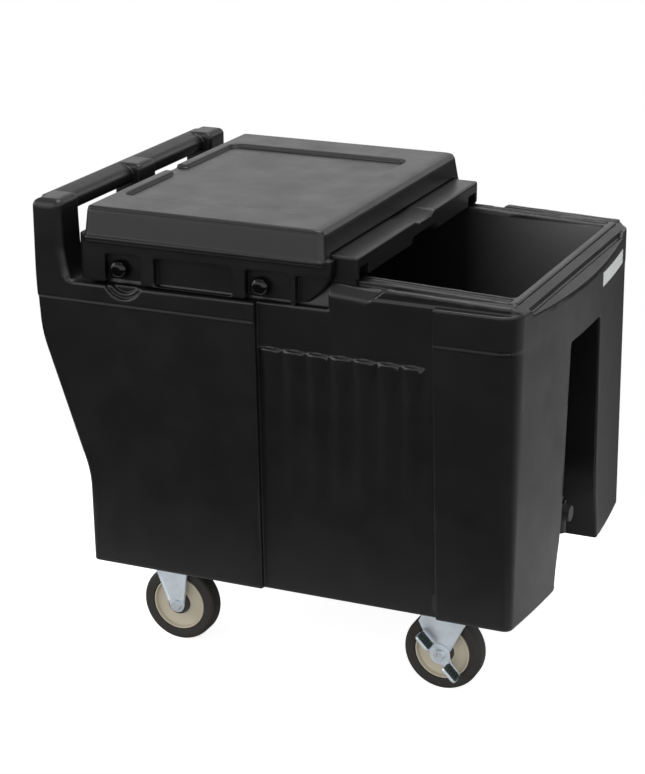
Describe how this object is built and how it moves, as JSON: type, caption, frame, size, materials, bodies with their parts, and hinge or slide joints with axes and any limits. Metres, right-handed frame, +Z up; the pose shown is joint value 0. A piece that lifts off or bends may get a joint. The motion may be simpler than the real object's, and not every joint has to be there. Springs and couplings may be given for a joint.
{
  "type": "mobile ice bin",
  "caption": "Insulated moulded ice bin on casters, with a push handle, a fixed rear cover and a lid that slides back under it.",
  "frame": {"origin": "on the floor, under the middle of the whole bin", "axes": "+X to the front, where the well opens, +Y to the left side, +Z up"},
  "size_m": [0.803, 0.584, 0.752],
  "materials": {
    "shell_plastic": "black rotomoulded polyethylene, fine orange peel",
    "lid_plastic": "black moulded polyethylene",
    "foam": "rigid polyurethane foam",
    "knob_plastic": "glossy black",
    "brass": "threaded insert",
    "white_plastic": "white polypropylene",
    "grey_plastic": "grey nylon",
    "gasket": "black rubber",
    "zinc": "bright zinc plate",
    "steel": "bright steel",
    "hub_plastic": "taupe moulded hub",
    "tyre_rubber": "dark brown-grey rubber",
    "pad_rubber": "dark green-grey rubber tread"
  },
  "bodies": {
    "tub": {"body_shell": "shell_plastic", "foam_core": "foam", "foam_plug_rear": "shell_plastic", "foam_plug_front": "shell_plastic", "rear_cover": "shell_plastic", "drain_shelf": "white_plastic", "drain_fitting": "grey_plastic", "drain_gasket": "gasket", "drain_nut": "grey_plastic", "drain_tap": "grey_plastic", "knob_insert_rear_left": "brass", "knob_insert_rear_right": "brass", "knob_insert_front_left": "brass", "knob_insert_front_right": "brass", "caster_fork_rear_left": "zinc", "axle_bush_rear_left": "steel", "axle_bolt_rear_left": "steel", "axle_nut_rear_left": "steel", "caster_fork_rear_right": "zinc", "axle_bush_rear_right": "steel", "axle_bolt_rear_right": "steel", "axle_nut_rear_right": "steel", "caster_plate_front_left": "zinc", "caster_plate_front_right": "zinc"},
    "lid": {"sliding_lid": "lid_plastic"},
    "tap_lever": {"tap_lever": "knob_plastic"},
    "knob_rear_left": {"cover_knob_rear_left": "knob_plastic"},
    "knob_rear_right": {"cover_knob_rear_right": "knob_plastic"},
    "knob_front_left": {"cover_knob_front_left": "knob_plastic"},
    "knob_front_right": {"cover_knob_front_right": "knob_plastic"},
    "wheel_rear_left": {"wheel_hub_rear_left": "hub_plastic", "tyre_rear_left": "tyre_rubber"},
    "wheel_rear_right": {"wheel_hub_rear_right": "hub_plastic", "tyre_rear_right": "tyre_rubber"},
    "swivel_front_left": {"caster_fork_front_left": "zinc", "axle_bush_front_left": "steel", "axle_bolt_front_left": "steel", "axle_nut_front_left": "steel"},
    "wheel_front_left": {"wheel_hub_front_left": "hub_plastic", "tyre_front_left": "tyre_rubber"},
    "brake_front_left": {"brake_lever_front_left": "zinc", "brake_pad_on_front_left": "pad_rubber", "brake_pad_off_front_left": "pad_rubber"},
    "swivel_front_right": {"caster_fork_front_right": "zinc", "axle_bush_front_right": "steel", "axle_bolt_front_right": "steel", "axle_nut_front_right": "steel"},
    "wheel_front_right": {"wheel_hub_front_right": "hub_plastic", "tyre_front_right": "tyre_rubber"},
    "brake_front_right": {"brake_lever_front_right": "zinc", "brake_pad_on_front_right": "pad_rubber", "brake_pad_off_front_right": "pad_rubber"}
  },
  "joints": [
    {"name": "lid_slide", "type": "slide", "parent": "tub", "child": "lid", "axis": [1, 0, 0], "range_m": [0, 0.255]},
    {"name": "tap_turn", "type": "hinge", "parent": "tub", "child": "tap_lever", "pos_m": [0.3701, 0, 0.2696], "axis": [0, 0, 1], "range_deg": [0, 90]},
    {"name": "knob_turn_rear_left", "type": "hinge", "parent": "tub", "child": "knob_rear_left", "pos_m": [-0.2585, 0.273, 0.652], "axis": [0, 1, 0], "continuous": true},
    {"name": "knob_turn_rear_right", "type": "hinge", "parent": "tub", "child": "knob_rear_right", "pos_m": [-0.2585, -0.273, 0.652], "axis": [0, 1, 0], "continuous": true},
    {"name": "knob_turn_front_left", "type": "hinge", "parent": "tub", "child": "knob_front_left", "pos_m": [-0.0215, 0.273, 0.652], "axis": [0, 1, 0], "continuous": true},
    {"name": "knob_turn_front_right", "type": "hinge", "parent": "tub", "child": "knob_front_right", "pos_m": [-0.0215, -0.273, 0.652], "axis": [0, 1, 0], "continuous": true},
    {"name": "wheel_spin_rear_left", "type": "hinge", "parent": "tub", "child": "wheel_rear_left", "pos_m": [-0.2175, 0.172, 0.0635], "axis": [0, 1, 0], "continuous": true},
    {"name": "wheel_spin_rear_right", "type": "hinge", "parent": "tub", "child": "wheel_rear_right", "pos_m": [-0.2175, -0.172, 0.0635], "axis": [0, 1, 0], "continuous": true},
    {"name": "swivel_turn_front_left", "type": "hinge", "parent": "tub", "child": "swivel_front_left", "pos_m": [0.2625, 0.172, 0.15], "axis": [0, 0, 1], "continuous": true},
    {"name": "wheel_spin_front_left", "type": "hinge", "parent": "swivel_front_left", "child": "wheel_front_left", "pos_m": [0.2625, 0.152, 0.0635], "axis": [1, 0, 0], "continuous": true},
    {"name": "brake_press_front_left", "type": "hinge", "parent": "swivel_front_left", "child": "brake_front_left", "pos_m": [0.2625, 0.152, 0.0635], "axis": [1, 0, 0], "range_deg": [0, 18]},
    {"name": "swivel_turn_front_right", "type": "hinge", "parent": "tub", "child": "swivel_front_right", "pos_m": [0.2625, -0.172, 0.15], "axis": [0, 0, 1], "continuous": true},
    {"name": "wheel_spin_front_right", "type": "hinge", "parent": "swivel_front_right", "child": "wheel_front_right", "pos_m": [0.2425, -0.172, 0.0635], "axis": [0, 1, 0], "continuous": true},
    {"name": "brake_press_front_right", "type": "hinge", "parent": "swivel_front_right", "child": "brake_front_right", "pos_m": [0.2425, -0.172, 0.0635], "axis": [0, -1, 0], "range_deg": [0, 18]}
  ]
}
